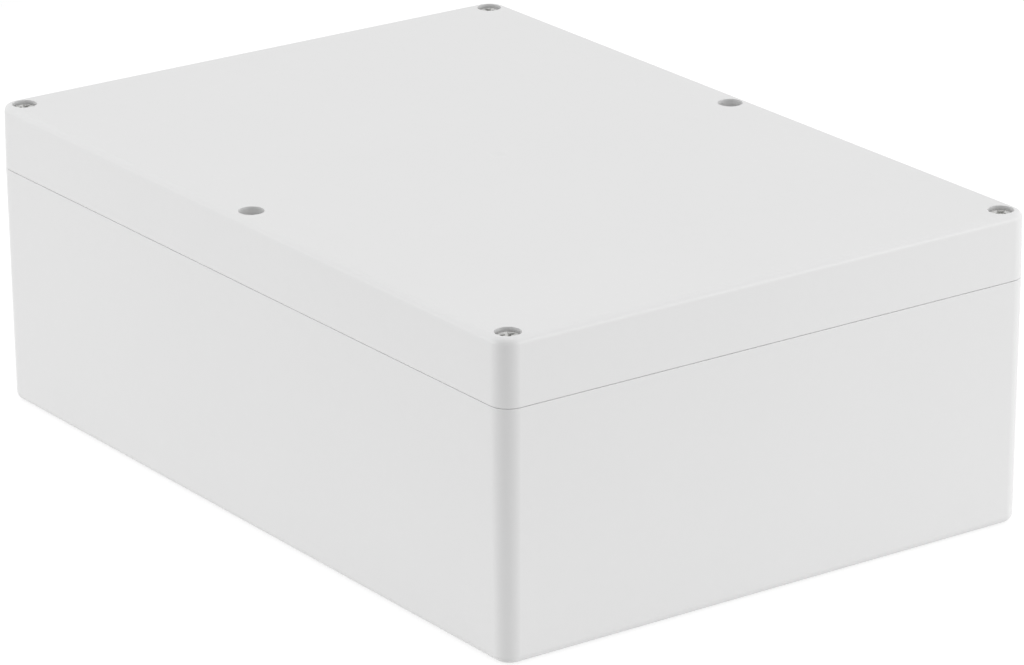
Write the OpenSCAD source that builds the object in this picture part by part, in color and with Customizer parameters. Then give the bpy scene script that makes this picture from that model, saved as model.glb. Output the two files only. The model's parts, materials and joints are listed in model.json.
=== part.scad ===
// Sealed two-piece moulded enclosure for electronics.
// A deep base and a flat lid meet in a tongue-and-groove seal with a cord gasket,
// and captive screws draw the lid down into brass inserts outside the seal.
// Millimetres, +Z up, origin at the middle of the underside, long side along X.

/* [Enclosure] */
// Length of the closed box at the parting line
outer_l = 265; // [220:1:320]
// Width of the closed box at the parting line
outer_w = 185; // [150:1:240]
// Height of the closed box
outer_h = 95; // [75:1:140]
// Height of the lid, from the parting line to the top
lid_h = 20; // [17:0.5:30]
// Thickness of the side walls at the parting line
wall_t = 4; // [3.6:0.1:5]
// Thickness of the base's floor
floor_t = 3.5; // [2.5:0.1:5]
// Thickness of the lid's top plate
lid_t = 3.5; // [2.5:0.1:5]
// Radius of the upright corners at the parting line
corner_r = 6; // [4:0.25:6.5]
// How far each side of the base leans in, from the parting line to the underside
base_draft = 0.75; // [0:0.05:1.2]
// How far each side of the lid leans in, from the parting line to the top
lid_draft = 0.15; // [0:0.05:0.4]
// Radius of the lid's top edge
top_edge_r = 2; // [1:0.1:2.5]
// Radius of the base's bottom edge
bottom_edge_r = 2.5; // [0.5:0.1:3]
// Gap between the lid's lip and the base's rim
seam_gap = 0.1; // [0.1:0.05:0.5]
// Chamfer on both outer edges of the seam
seam_edge = 0.25; // [0.1:0.05:0.5]

/* [Seal] */
// Width of the lid's inner lip, between the cavity and the groove
inner_lip_t = 1.1; // [0.8:0.1:1.4]
// Width of the lid's gasket groove
groove_w = 1.6; // [1.4:0.1:1.9]
// Depth of the lid's gasket groove
groove_depth = 4; // [3:0.1:5]
// Width of the base's tongue
tongue_w = 1.2; // [0.8:0.1:1.3]
// Height of the base's tongue above the parting line
tongue_h = 2.5; // [1.5:0.1:2.7]
// Clearance of the gasket to the sides of its groove
gasket_clear = 0.05; // [0.02:0.01:0.1]

/* [Lid screws] */
// Distance of the screw axes from the outer faces at the parting line
screw_inset = 6.2; // [6:0.1:7]
// Radius of the screw pillars around their axes
pillar_r = 8; // [7.5:0.1:10]
// Outside diameter of the screw thread
thread_d = 4; // [3.8:0.1:4.6]
// Length of the threaded end
thread_len = 10; // [8:0.5:12]
// Diameter of the waist that keeps the screw captive
waist_d = 2.9; // [2:0.1:3]
// How far a corner screw's end reaches below the top of its insert
screw_reach = 8.1; // [6:0.1:10]
// Diameter of the screw head
head_d = 7; // [6.5:0.1:7.4]
// Height of the screw head
head_h = 2.6; // [2:0.1:3]
// Depth of the corner screws' heads below the lid's top
corner_sink = 0.9; // [0.5:0.1:1.5]
// Depth of the middle screws' heads below the lid's top
middle_sink = 2.2; // [0.5:0.1:2.5]
// Clearance of the screws in the lid
screw_clear = 0.3; // [0.2:0.05:0.4]
// Clearance of the thread in its insert
thread_clear = 0.05; // [0.02:0.01:0.08]
// Thickness of the web in the lid that holds a screw captive
captive_web_t = 3; // [2:0.5:4]
// Outside diameter of the threaded inserts
insert_d = 6; // [5.5:0.1:6.4]
// Length of the threaded inserts
insert_len = 8; // [6:0.5:9]
// Clearance of the inserts in their pillars
insert_clear = 0.02; // [0.01:0.01:0.04]

/* [Wall mounting] */
// Distance of a mounting hole from its corner screw, along the long side
mount_pitch = 12; // [11:0.5:16]
// Diameter of the mounting holes
mount_hole_d = 4.3; // [3.5:0.1:5]
// Diameter of the tube that takes the mounting screw's head
mount_tube_d = 7.6; // [6.5:0.1:8]
// Thickness of the floor at the foot of each tube
mount_web_t = 5; // [4:0.5:8]

/* [Board bosses] */
// Number of bosses along the length
boss_columns = 4; // [2:1:5]
// Distance of the outer bosses from the end walls
boss_end_gap = 26; // [16:1:35]
// Distance of the bosses from the side walls
boss_side_gap = 26; // [18:1:35]
// Diameter of the bosses at the top
boss_d = 7.6; // [6:0.2:10]
// Height of the bosses above the floor
boss_h = 6; // [4:0.5:12]
// Diameter of the pilot holes
boss_hole_d = 2.9; // [2:0.1:3.2]
// Depth of the pilot holes
boss_hole_depth = 7; // [4:0.5:8]

/* [Hidden] */
$fn = 64;
edge_steps = 8;       // straight steps in a rounded edge's profile
overrun = 1;          // how far a cutter runs past the face it opens
boss_draft = 0.35;    // how much wider a boss's foot is, on the radius
gate_d = 5;           // dimple left over the injection point
gate_depth = 0.25;
tip_chamfer = 0.6;    // on the screw's end
head_edge_r = 0.7;    // rounded top edge of the screw head
head_lean = 0.15;     // how far the side of the head leans in
recess_d = 4.3;       // cross recess in the head
recess_foot_d = 1.4;
recess_arm_t = 1.15;
recess_depth = 1.9;
insert_drop = 0.3;    // top of the insert below the base's rim
insert_groove = 0.4;  // depth of the groove round the middle of an insert
insert_groove_len = 2.2;
insert_lead = 0.4;    // chamfer on the insert's lower end
tip_room = 3;         // hole below the deepest screw's end
edge_land = 0.2;      // flat left between a screw hole and the rounded edge beside it

parting_z = outer_h - lid_h;
rim_z = parting_z - seam_gap / 2;
lip_z = parting_z + seam_gap / 2;
ceiling_z = outer_h - lid_t;
half_l = outer_l / 2 - wall_t;
half_w = outer_w / 2 - wall_t;
axis_x = outer_l / 2 - corner_r;
axis_y = outer_w / 2 - corner_r;
screw_x = outer_l / 2 - screw_inset;
screw_y = outer_w / 2 - screw_inset;
mount_x = screw_x - mount_pitch;
pillar_fillet = screw_inset - wall_t;
groove_near = inner_lip_t;
groove_far = inner_lip_t + groove_w;
tongue_near = inner_lip_t + (groove_w - tongue_w) / 2;
tongue_far = tongue_near + tongue_w;
tongue_top = parting_z + tongue_h;
groove_top = lip_z + groove_depth;
thread_r = thread_d / 2;
waist_r = waist_d / 2;
web_hole_r = waist_r + screw_clear;
shank_hole_r = thread_r + screw_clear;
seat_hole_r = head_d / 2 + screw_clear;
top_round = min(top_edge_r, screw_inset - lid_draft - seat_hole_r - edge_land);
bottom_round = min(bottom_edge_r, screw_inset - base_draft - mount_hole_d / 2 - edge_land);
insert_top = rim_z - insert_drop;
screw_len = seat_z(corner_sink) - insert_top + screw_reach;
deepest_tip = seat_z(max(corner_sink, middle_sink)) - screw_len;
boss_x = half_l - boss_end_gap;
boss_y = half_w - boss_side_gap;
boss_step = 2 * boss_x / (boss_columns - 1);

// Each screw place: its name, its axis and how deep the head sits
places = [
    ["front_left", [-screw_x, -screw_y], corner_sink],
    ["front_middle", [0, -screw_y], middle_sink],
    ["front_right", [screw_x, -screw_y], corner_sink],
    ["rear_left", [-screw_x, screw_y], corner_sink],
    ["rear_middle", [0, screw_y], middle_sink],
    ["rear_right", [screw_x, screw_y], corner_sink],
];

function seat_z(sink) = outer_h - sink - head_h;

function arc(centre, r, from, to) = [
    for (i = [0 : edge_steps])
        let (a = from + (to - from) * i / edge_steps)
            centre + r * [cos(a), sin(a)]
];

// Outlines of the outer faces, from bottom to top, as distance from the corner axes and height
base_side = concat(
    arc([corner_r - base_draft - bottom_round, bottom_round], bottom_round, -90, 0),
    [[corner_r, rim_z - seam_edge], [corner_r - seam_edge, rim_z]]
);
lid_side = concat(
    [[corner_r - seam_edge, lip_z], [corner_r, lip_z + seam_edge]],
    arc([corner_r - lid_draft - top_round, outer_h - top_round], top_round, 0, 90)
);

// The full section of a block: one side at +half and its mirror image at -half
function section(side, half) = concat(
    [for (p = side) [half + p[0], p[1]]],
    [for (i = [len(side) - 1 : -1 : 0]) [-half - side[i][0], side[i][1]]]
);

// A block with a rounded-rectangle plan whose outer faces follow a side outline
module swept_block(side) {
    rotate([90, 0, 0])
        linear_extrude(2 * axis_y, center = true)
            polygon(section(side, axis_x));
    rotate([90, 0, 90])
        linear_extrude(2 * axis_x, center = true)
            polygon(section(side, axis_y));
    for (q = [0 : 3])
        translate([(q == 0 || q == 3 ? 1 : -1) * axis_x, (q < 2 ? 1 : -1) * axis_y, 0])
            rotate(90 * q)
                rotate_extrude(angle = 90)
                    polygon(concat([[0, side[0][1]]], side, [[0, side[len(side) - 1][1]]]));
}

module rounded_rect(l, w, r) {
    square([l - 2 * r, w], center = true);
    square([l, w - 2 * r], center = true);
    for (sx = [-1, 1], sy = [-1, 1])
        translate([sx * (l / 2 - r), sy * (w / 2 - r)]) circle(r);
}

// The cavity leaves a rounded pillar round each corner's holes and each middle screw.
// grow moves its outline towards the walls, which places the lips, the groove and the tongue.
module cavity_outline(grow = 0) {
    bay_from = pillar_r - grow;
    bay_to = mount_x - pillar_r + grow;
    r = pillar_r - grow;
    rounded_rect(2 * (half_l + grow), 2 * (screw_y - r), pillar_fillet + grow);
    for (s = [-1, 1])
        translate([s * (bay_from + bay_to) / 2, 0])
            rounded_rect(bay_to - bay_from, 2 * (half_w + grow), pillar_fillet + grow);
    for (sx = [-1, 1], sy = [-1, 1])
        in_quarter(sx, sy) translate([mount_x, screw_y]) difference() {
            translate([-r - overrun, -r - overrun]) square(r + overrun);
            circle(r);
        }
    for (sy = [-1, 1])
        in_quarter(1, sy) translate([0, screw_y]) difference() {
            translate([-r - overrun, -r - overrun]) square([2 * (r + overrun), r + overrun]);
            circle(r);
        }
}

// Mirrors its children into the quarter with these signs
module in_quarter(sx, sy) {
    mirror([sx < 0 ? 1 : 0, 0, 0]) mirror([0, sy < 0 ? 1 : 0, 0]) children();
}

// A wall that follows the cavity between two distances from its edge
module seal_band(near, far, from_z, to_z) {
    translate([0, 0, from_z])
        linear_extrude(to_z - from_z)
            difference() {
                cavity_outline(far);
                cavity_outline(near);
            }
}

module cavity_space(from_z, to_z) {
    translate([0, 0, from_z]) linear_extrude(to_z - from_z) cavity_outline();
}

// A straight round hole between two heights
module hole(r, from_z, to_z) {
    translate([0, 0, from_z]) cylinder(h = to_z - from_z, r = r);
}

module at_mounts() {
    for (sx = [-1, 1], sy = [-1, 1])
        translate([sx * mount_x, sy * screw_y, 0]) children();
}

module at_bosses() {
    for (i = [0 : boss_columns - 1], sy = [-1, 1])
        translate([-boss_x + i * boss_step, sy * boss_y, floor_t]) children();
}

// The shallow round dimple over an injection point, as the cap of a large ball
module gate_dimple() {
    ball_r = (pow(gate_d / 2, 2) + pow(gate_depth, 2)) / (2 * gate_depth);
    translate([0, 0, ball_r - gate_depth]) sphere(ball_r);
}

module base() {
    color("gainsboro") difference() {
        union() {
            difference() {
                swept_block(base_side);
                cavity_space(floor_t, rim_z + overrun);
            }
            seal_band(tongue_near, tongue_far, rim_z - overrun, tongue_top);
            at_bosses() cylinder(h = boss_h, r1 = boss_d / 2 + boss_draft, r2 = boss_d / 2);
        }
        for (p = places)
            translate(p[1]) {
                hole(insert_d / 2 + insert_clear, insert_top - insert_len, rim_z + overrun);
                hole(shank_hole_r, deepest_tip - tip_room, insert_top);
            }
        at_mounts() {
            hole(mount_hole_d / 2, -overrun, mount_web_t + overrun);
            hole(mount_tube_d / 2, mount_web_t, rim_z + overrun);
        }
        at_bosses() hole(boss_hole_d / 2, boss_h - boss_hole_depth, boss_h + overrun);
        mirror([0, 0, 1]) gate_dimple();
    }
}

module lid() {
    color("gainsboro") difference() {
        swept_block(lid_side);
        cavity_space(lip_z - overrun, ceiling_z);
        seal_band(groove_near, groove_far, lip_z - overrun, groove_top);
        for (p = places)
            translate(p[1]) {
                hole(seat_hole_r, seat_z(p[2]), outer_h + overrun);
                hole(web_hole_r, lip_z - overrun, outer_h);
                hole(shank_hole_r, lip_z - overrun, seat_z(p[2]) - captive_web_t);
            }
        at_mounts() hole(mount_tube_d / 2, lip_z - overrun, ceiling_z);
        translate([0, 0, outer_h]) gate_dimple();
    }
}

module gasket() {
    color("dimgray")
        seal_band(groove_near + gasket_clear, groove_far - gasket_clear, tongue_top, groove_top);
}

// Cross-recessed cheese-head screw with a reduced waist, its seat at z = 0
module screw_blank() {
    head_r = head_d / 2;
    top_r = head_r - head_lean - head_edge_r;
    rotate_extrude()
        polygon(concat(
            [
                [0, -screw_len],
                [thread_r - thread_clear - tip_chamfer, -screw_len],
                [thread_r - thread_clear, -screw_len + tip_chamfer],
                [thread_r - thread_clear, -screw_len + thread_len],
                [waist_r, -screw_len + thread_len + tip_chamfer],
                [waist_r, 0],
                [head_r, 0],
            ],
            arc([top_r, head_h - head_edge_r], head_edge_r, 0, 90),
            [[0, head_h]]
        ));
}

module cross_recess() {
    intersection() {
        translate([0, 0, head_h - recess_depth])
            cylinder(h = recess_depth, d1 = recess_foot_d, d2 = recess_d);
        union() {
            cube([recess_d, recess_arm_t, 2 * head_h + overrun], center = true);
            cube([recess_arm_t, recess_d, 2 * head_h + overrun], center = true);
        }
    }
}

module lid_screw(place) {
    color("silver")
        translate([place[1][0], place[1][1], seat_z(place[2])])
            difference() {
                screw_blank();
                cross_recess();
            }
}

module threaded_insert(place) {
    r = insert_d / 2;
    band = (insert_len - insert_groove_len) / 2;
    color("goldenrod")
        translate([place[1][0], place[1][1], insert_top - insert_len])
            rotate_extrude()
                polygon([
                    [thread_r, 0],
                    [r - insert_lead, 0],
                    [r, insert_lead],
                    [r, band],
                    [r - insert_groove, band],
                    [r - insert_groove, insert_len - band],
                    [r, insert_len - band],
                    [r, insert_len],
                    [thread_r, insert_len],
                ]);
}

base();
lid();
gasket();
for (p = places) {
    lid_screw(p);
    threaded_insert(p);
}
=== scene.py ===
"""Looks of a sealed, two-piece moulded electronics enclosure, dressed on its packed frame.

Laid out as an add-on: property groups hold the sizes, the finishes and the stage, each piece or
group of like pieces has an operator, and main() runs them in order. Lengths are metres, +Z is up.
"""
import json
import math

import bmesh
import bpy
import numpy as np
from bpy.props import FloatProperty, FloatVectorProperty, IntProperty, PointerProperty
from mathutils import Matrix, Vector
from mathutils.geometry import delaunay_2d_cdt


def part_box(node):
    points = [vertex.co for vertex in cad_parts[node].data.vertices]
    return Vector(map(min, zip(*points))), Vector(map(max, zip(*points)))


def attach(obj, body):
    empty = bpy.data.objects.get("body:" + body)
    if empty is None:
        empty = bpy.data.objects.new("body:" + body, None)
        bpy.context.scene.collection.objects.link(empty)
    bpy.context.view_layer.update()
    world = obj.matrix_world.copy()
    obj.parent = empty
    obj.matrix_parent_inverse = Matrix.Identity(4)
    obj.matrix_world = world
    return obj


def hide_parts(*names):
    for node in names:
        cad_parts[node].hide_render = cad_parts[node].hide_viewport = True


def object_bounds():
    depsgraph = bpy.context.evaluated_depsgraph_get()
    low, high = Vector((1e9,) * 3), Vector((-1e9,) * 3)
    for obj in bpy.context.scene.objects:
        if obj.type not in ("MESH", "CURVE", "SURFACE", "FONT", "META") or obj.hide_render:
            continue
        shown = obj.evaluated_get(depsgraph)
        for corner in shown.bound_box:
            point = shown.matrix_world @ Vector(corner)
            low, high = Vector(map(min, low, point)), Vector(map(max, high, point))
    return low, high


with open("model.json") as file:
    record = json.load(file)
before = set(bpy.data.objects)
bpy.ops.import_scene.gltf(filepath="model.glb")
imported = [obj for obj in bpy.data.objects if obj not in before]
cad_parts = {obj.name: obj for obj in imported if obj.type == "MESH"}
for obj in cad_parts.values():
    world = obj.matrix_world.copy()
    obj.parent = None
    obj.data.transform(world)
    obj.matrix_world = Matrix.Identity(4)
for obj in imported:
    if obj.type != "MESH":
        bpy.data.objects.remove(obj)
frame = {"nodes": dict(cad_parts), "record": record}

bl_info = {
    "name": "Sealed enclosure",
    "version": (1, 0, 0),
    "blender": (4, 5, 0),
    "location": "View3D > Sidebar > Enclosure",
    "description": "Dresses a sealed electronics enclosure on its packed frame",
    "category": "Object",
}

MM = 0.001
CAD_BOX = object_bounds()
SCREW_NODES = sorted(name for name in frame["nodes"] if name.startswith("lid_screw_"))
INSERT_NODES = sorted(name for name in frame["nodes"] if name.startswith("threaded_insert_"))
MOUNTS = {mount["name"]: mount["dims"] for mount in frame["record"]["mounts"]}
COLOURS = {slot["slot"]: slot["base_color"] for slot in frame["record"]["materials"]}

CORNER_STEPS = 18         # straight steps in each upright outer corner
PILLAR_STEPS = 14         # and in each quarter of a screw pillar
CAVITY_STEPS = 8          # and in each of the cavity's own corners
HOLE_SIDES = 56           # sides of a round hole or boss
TURNED_SIDES = 48         # sides of a turned part
KNURL_SIDES = 4           # sides of an insert for each ridge of its knurl
EDGE_STEPS = 8            # straight steps round an edge
FINE_EDGE_STEPS = 4       # and round a fine edge
FINE_EDGE = 1 * MM        # largest radius of a fine edge
RECESS_STEPS = 4          # straight steps in each round of a cross recess
GASKET_STEPS = 4          # points in each round of the gasket's section
GATE_STEPS = 6            # rings in the dimple over an injection point
LAND = 0.05 * MM          # flat strip between a rounded edge and the plate that it meets
SMOOTH_LIMIT = math.cos(math.radians(40))  # faces of a moulding that turn by less share their normals
SHARP_ANGLE = math.radians(50)             # edges of a turned part that turn by more stay sharp
FLAT_WEIGHT = 1.0         # share of a flat face in a corner's normal, next to areas in square metres
PIN_ROW = (1 / 2, 1 / 3)  # an ejector pin's place, as shares of the place of a boss
PIN_END = 0.9             # and near both ends, as a share of the place of the corners' axes
DRILL_POINT = 0.25        # flat at the foot of a pilot hole and depth of its cone, as shares of its radius
THREAD_ROWS = 12          # rows of points in one turn of a thread
THREAD_RUNOUT = 0.1       # share of a thread's length over which it fades in and out
THREAD_FLANK = (0.06, 0.42)    # where a thread's flank starts and ends, in pitches from its crest
SCREW_TURN = math.radians(37)  # each screw stopped at another turn
RECESS_CORNER = 0.1       # rounding between two arms of a cross recess, as a share of their reach
NOISE_RANGE = (0.3, 0.7)  # range of most of a noise texture's values
MIX_COLOURS = (6, 7)      # a Mix node's sockets for its two colours, which share their names with others
MIX_RESULT = 2            # and its socket for the mixed colour
SAME_POINT = 1e-7         # metres within which a triangulation takes two points for one
FLOOR_DROP = 0.1 * MM     # keeps the stage's floor apart from the underside


def length(label, about, default):
    """A length property, in metres."""
    return FloatProperty(name=label, description=about, default=default, min=0, unit="LENGTH", precision=5)


def share(label, about, default):
    """A property from 0 to 1."""
    return FloatProperty(name=label, description=about, default=default, min=0, max=1, subtype="FACTOR")


def colour(label, about, default):
    """A colour property, linear."""
    return FloatVectorProperty(name=label, description=about, default=default, size=3,
                               min=0, max=1, subtype="COLOR")


def angle(label, about, degrees):
    """An angle property, written in degrees."""
    return FloatProperty(name=label, description=about, default=math.radians(degrees), subtype="ANGLE")


def position(label, about, default):
    """A point property, in metres."""
    return FloatVectorProperty(name=label, description=about, default=default, size=3,
                               subtype="XYZ", unit="LENGTH")


def wattage(label, about, default):
    """A lamp's power property, in watts."""
    return FloatProperty(name=label, description=about, default=default, min=0, unit="POWER")


class EnclosureShell(bpy.types.PropertyGroup):
    """Sizes of the base and the lid."""

    corner_radius: length("Corner radius", "Radius of the upright corners at the seam", 6 * MM)
    wall: length("Wall", "Thickness of the side walls at the seam", 4 * MM)
    floor: length("Floor", "Thickness of the base's floor", 3.5 * MM)
    lid_top: length("Lid top", "Thickness of the lid's top plate", 3.5 * MM)
    base_draft: length("Base draft", "How far the base's sides lean in towards the underside", 0.75 * MM)
    lid_draft: length("Lid draft", "How far the lid's sides lean in towards the top", 0.15 * MM)
    top_edge: length("Top edge", "Radius of the lid's top edge", 2 * MM)
    bottom_edge: length("Bottom edge", "Radius of the base's bottom edge", 2.5 * MM)
    seam_gap: length("Seam gap", "Gap between the lid's lip and the base's rim", 0.1 * MM)
    seam_edge: length("Seam edge", "Rounding of both outer edges of the seam", 0.25 * MM)
    pillar_radius: length("Pillar radius", "Radius of the screw pillars round their axes", 8 * MM)
    inside_fillet: length("Inside fillet", "Radius along the foot of the inner walls", 1.5 * MM)
    hole_edge: length("Hole edge", "Rounding on the mouths of holes", 0.2 * MM)
    gate_radius: length("Gate radius", "Radius of the dimple over an injection point", 2.5 * MM)
    gate_depth: length("Gate depth", "Depth of the dimple over an injection point", 0.25 * MM)


class EnclosureSeal(bpy.types.PropertyGroup):
    """Sizes of the tongue, the groove and the gasket."""

    inner_lip: length("Inner lip", "Width of the lid's lip inside the groove", 1.1 * MM)
    groove_width: length("Groove width", "Width of the lid's gasket groove", 1.6 * MM)
    tongue_width: length("Tongue width", "Width of the base's tongue", 1.2 * MM)
    tongue_lean: length("Tongue lean", "How far each side of the tongue leans in", 0.05 * MM)
    tongue_edge: length("Tongue edge", "Rounding on top of the tongue", 0.35 * MM)
    gasket_clear: length("Gasket clearance", "Clearance of the gasket to the groove's sides", 0.05 * MM)
    gasket_edge: length("Gasket edge", "Rounding of the gasket's section", 0.55 * MM)


class EnclosureFasteners(bpy.types.PropertyGroup):
    """Sizes of the lid screws, their holes and the threaded inserts."""

    thread_radius: length("Thread radius", "Nominal radius of the thread", 2 * MM)
    thread_length: length("Thread length", "Length of a screw's threaded end", 10 * MM)
    pitch: length("Pitch", "Pitch of the thread", 0.7 * MM)
    thread_depth: length("Thread depth", "Depth of the thread", 0.35 * MM)
    thread_clear: length("Thread clearance", "Clearance of a thread to its insert", 0.05 * MM)
    waist_radius: length("Waist radius", "Radius of the waist that keeps a screw captive", 1.45 * MM)
    tip_chamfer: length("Tip chamfer", "Chamfer on a screw's end", 0.6 * MM)
    head_height: length("Head height", "Height of a screw's head", 2.6 * MM)
    head_lean: length("Head lean", "How far the side of a head leans in", 0.15 * MM)
    head_edge: length("Head edge", "Rounding of a head's top edge", 0.7 * MM)
    recess_reach: length("Recess reach", "Reach of the cross recess from the axis, at the top", 2.15 * MM)
    recess_foot: length("Recess foot", "Reach of the cross recess at its foot", 0.7 * MM)
    recess_depth: length("Recess depth", "Depth of the cross recess", 1.9 * MM)
    recess_arm: length("Recess arm", "Half the width of an arm of the recess, at the top", 0.58 * MM)
    clearance: length("Clearance", "Clearance of the screws in the lid", 0.3 * MM)
    captive_web: length("Captive web", "Thickness of the web that holds a screw captive", 3 * MM)
    tip_room: length("Tip room", "Depth of a screw's hole below the deepest screw's end", 3 * MM)
    insert_groove: length("Insert groove", "Depth of the groove round an insert", 0.4 * MM)
    insert_groove_length: length("Insert groove length", "Length of that groove", 2.2 * MM)
    insert_lead: length("Insert lead", "Chamfer on an insert's lower end", 0.4 * MM)
    insert_clear: length("Insert clearance", "Clearance of an insert in its pillar", 0.02 * MM)
    knurl_count: IntProperty(name="Knurl count", description="Ridges round an insert", default=24, min=8)
    knurl_depth: length("Knurl depth", "Depth of the knurl on an insert", 0.16 * MM)
    turned_edge: length("Turned edge", "Small chamfer on the sharp edges of turned parts", 0.12 * MM)
    recess_taper: share("Recess taper", "How much narrower the recess's arms are towards its foot", 0.45)


class EnclosureMountings(bpy.types.PropertyGroup):
    """Sizes of the wall-mounting tubes and the board bosses."""

    tube_radius: length("Tube radius", "Radius of the tube for a mounting screw's head", 3.8 * MM)
    tube_web: length("Tube web", "Thickness of the floor at the foot of a tube", 5 * MM)
    boss_radius: length("Boss radius", "Radius of the board bosses at the top", 3.8 * MM)
    boss_draft: length("Boss draft", "How much wider a boss is at its foot", 0.35 * MM)
    boss_height: length("Boss height", "Height of the bosses above the floor", 6 * MM)
    boss_foot: length("Boss foot", "Fillet round the foot of a boss", 0.8 * MM)
    pilot_depth: length("Pilot depth", "Depth of the pilot holes in the bosses", 7 * MM)
    pin_radius: length("Pin mark radius", "Radius of the marks left by the ejector pins", 3 * MM)
    pin_depth: length("Pin mark depth", "Depth of the marks left by the ejector pins", 0.08 * MM)


class EnclosureFinish(bpy.types.PropertyGroup):
    """Colours and textures of the four materials."""

    plastic: colour("Plastic", "Colour of the moulded plastic", COLOURS["grey_plastic"])
    plastic_roughness: share("Plastic roughness", "Roughness of the moulded plastic", 0.46)
    plastic_grain: length("Plastic grain", "Width of the mould's spark-eroded texture", 0.45 * MM)
    steel: colour("Steel", "Colour of the screws", COLOURS["screw_steel"])
    brass: colour("Brass", "Colour of the inserts", COLOURS["insert_brass"])
    rubber: colour("Rubber", "Colour of the gasket", COLOURS["gasket_rubber"])


class EnclosureStage(bpy.types.PropertyGroup):
    """Camera, lamps and background."""

    azimuth: angle("Azimuth", "Where the camera stands round the object", 54.607)
    elevation: angle("Elevation", "How far the camera looks down", 19.851)
    roll: angle("Roll", "Turn of the camera about its line of sight", -0.3335)
    distance: length("Distance", "Distance of the camera from its target", 1.6192)
    target: position("Target", "Point that the camera looks at", (0.02043, -0.00972, 0.0475))
    lens: FloatProperty(name="Lens", description="Focal length of the camera", default=194.075, unit="CAMERA")
    left_place: position("Left lamp place", "Middle of the left strip lamp", (-0.6, -1.45, 0.2))
    left_power: wattage("Left lamp", "Power of the left strip lamp", 5.85)
    right_place: position("Right lamp place", "Middle of the right strip lamp", (1.25, 0.95, 0.2))
    right_power: wattage("Right lamp", "Power of the right strip lamp", 7.0)
    lamp_width: length("Lamp width", "Width of each strip lamp", 1.0)
    lamp_height: length("Lamp height", "Height of each strip lamp", 0.36)
    ambient: FloatProperty(name="Ambient", description="Light from the tent all round", default=1.21, min=0)
    front_shade: share("Front shade", "How much of that light the tent's open front lacks", 0.82)
    back_shade: share("Back shade", "How much of that light the tent's open back lacks", 0.55)
    opening_azimuth: angle("Opening azimuth", "Middle of the open front, round the object", 45)
    opening_edge: angle("Opening edge", "How far to the sides of an opening's middle the tent is white", 92)
    opening_core: angle("Opening core", "How far to the sides of its middle an opening stays darkest", 45)
    opening_flat: FloatProperty(name="Opening flatness", description="Width of an opening to its height",
                                default=3, min=1)
    backdrop: FloatProperty(name="Backdrop", description="White that the camera sees all round", default=1)
    floor_paint: share("Floor paint", "Grey of the lit floor, which takes the object's shadow", 0.4)
    floor_glow: share("Floor glow", "Light that the floor gives", 0.38)
    floor_lift: share("Floor lift", "White that the camera sees on the floor beside its paint", 0.68)
    floor_width: length("Floor width", "Width of the floor", 1.0)


def arc(centre, radius, start, end, steps):
    """Points on an arc in plan, both ends included, with angles in degrees."""
    turns = [math.radians(start + (end - start) * i / steps) for i in range(steps + 1)]
    return [(centre[0] + radius * math.cos(t), centre[1] + radius * math.sin(t)) for t in turns]


def circle(centre, radius, sides=HOLE_SIDES):
    """Points round a full circle in plan."""
    return arc(centre, radius, 0, 360, sides)[:-1]


def rounded(*corners):
    """A section through corners given as (reach, height, rounding); its two ends have no rounding."""
    points = [Vector(corners[0][:2])]
    for before, corner, after in zip(corners, corners[1:], corners[2:]):
        point = Vector(corner[:2])
        rounding = corner[2] if len(corner) > 2 else 0
        if rounding == 0:
            points.append(point)
            continue
        back = (Vector(before[:2]) - point).normalized()
        ahead = (Vector(after[:2]) - point).normalized()
        half = back.angle(ahead) / 2
        centre = point + (back + ahead).normalized() * rounding / math.sin(half)
        first = point + back * rounding / math.tan(half) - centre
        last = point + ahead * rounding / math.tan(half) - centre
        steps = EDGE_STEPS if rounding > FINE_EDGE else FINE_EDGE_STEPS
        sweep = first.angle_signed(last)
        for i in range(steps + 1):
            points.append(centre + Matrix.Rotation(-sweep * i / steps, 2) @ first)
    points.append(Vector(corners[-1][:2]))
    return [tuple(point) for point in points]


def middle(node):
    """The middle of a node's box."""
    low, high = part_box(node)
    return (low + high) / 2


def pattern(mount):
    """The four places of a rectangular hole pattern in the record."""
    x, y = MOUNTS[mount]["spacing_x_mm"] / 2 * MM, MOUNTS[mount]["spacing_y_mm"] / 2 * MM
    return [Vector((sx * x, sy * y)) for sx in (-1, 1) for sy in (-1, 1)]


def hole_radius(mount):
    """The radius of a pattern's holes."""
    return MOUNTS[mount]["hole_r_mm"] * MM


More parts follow.
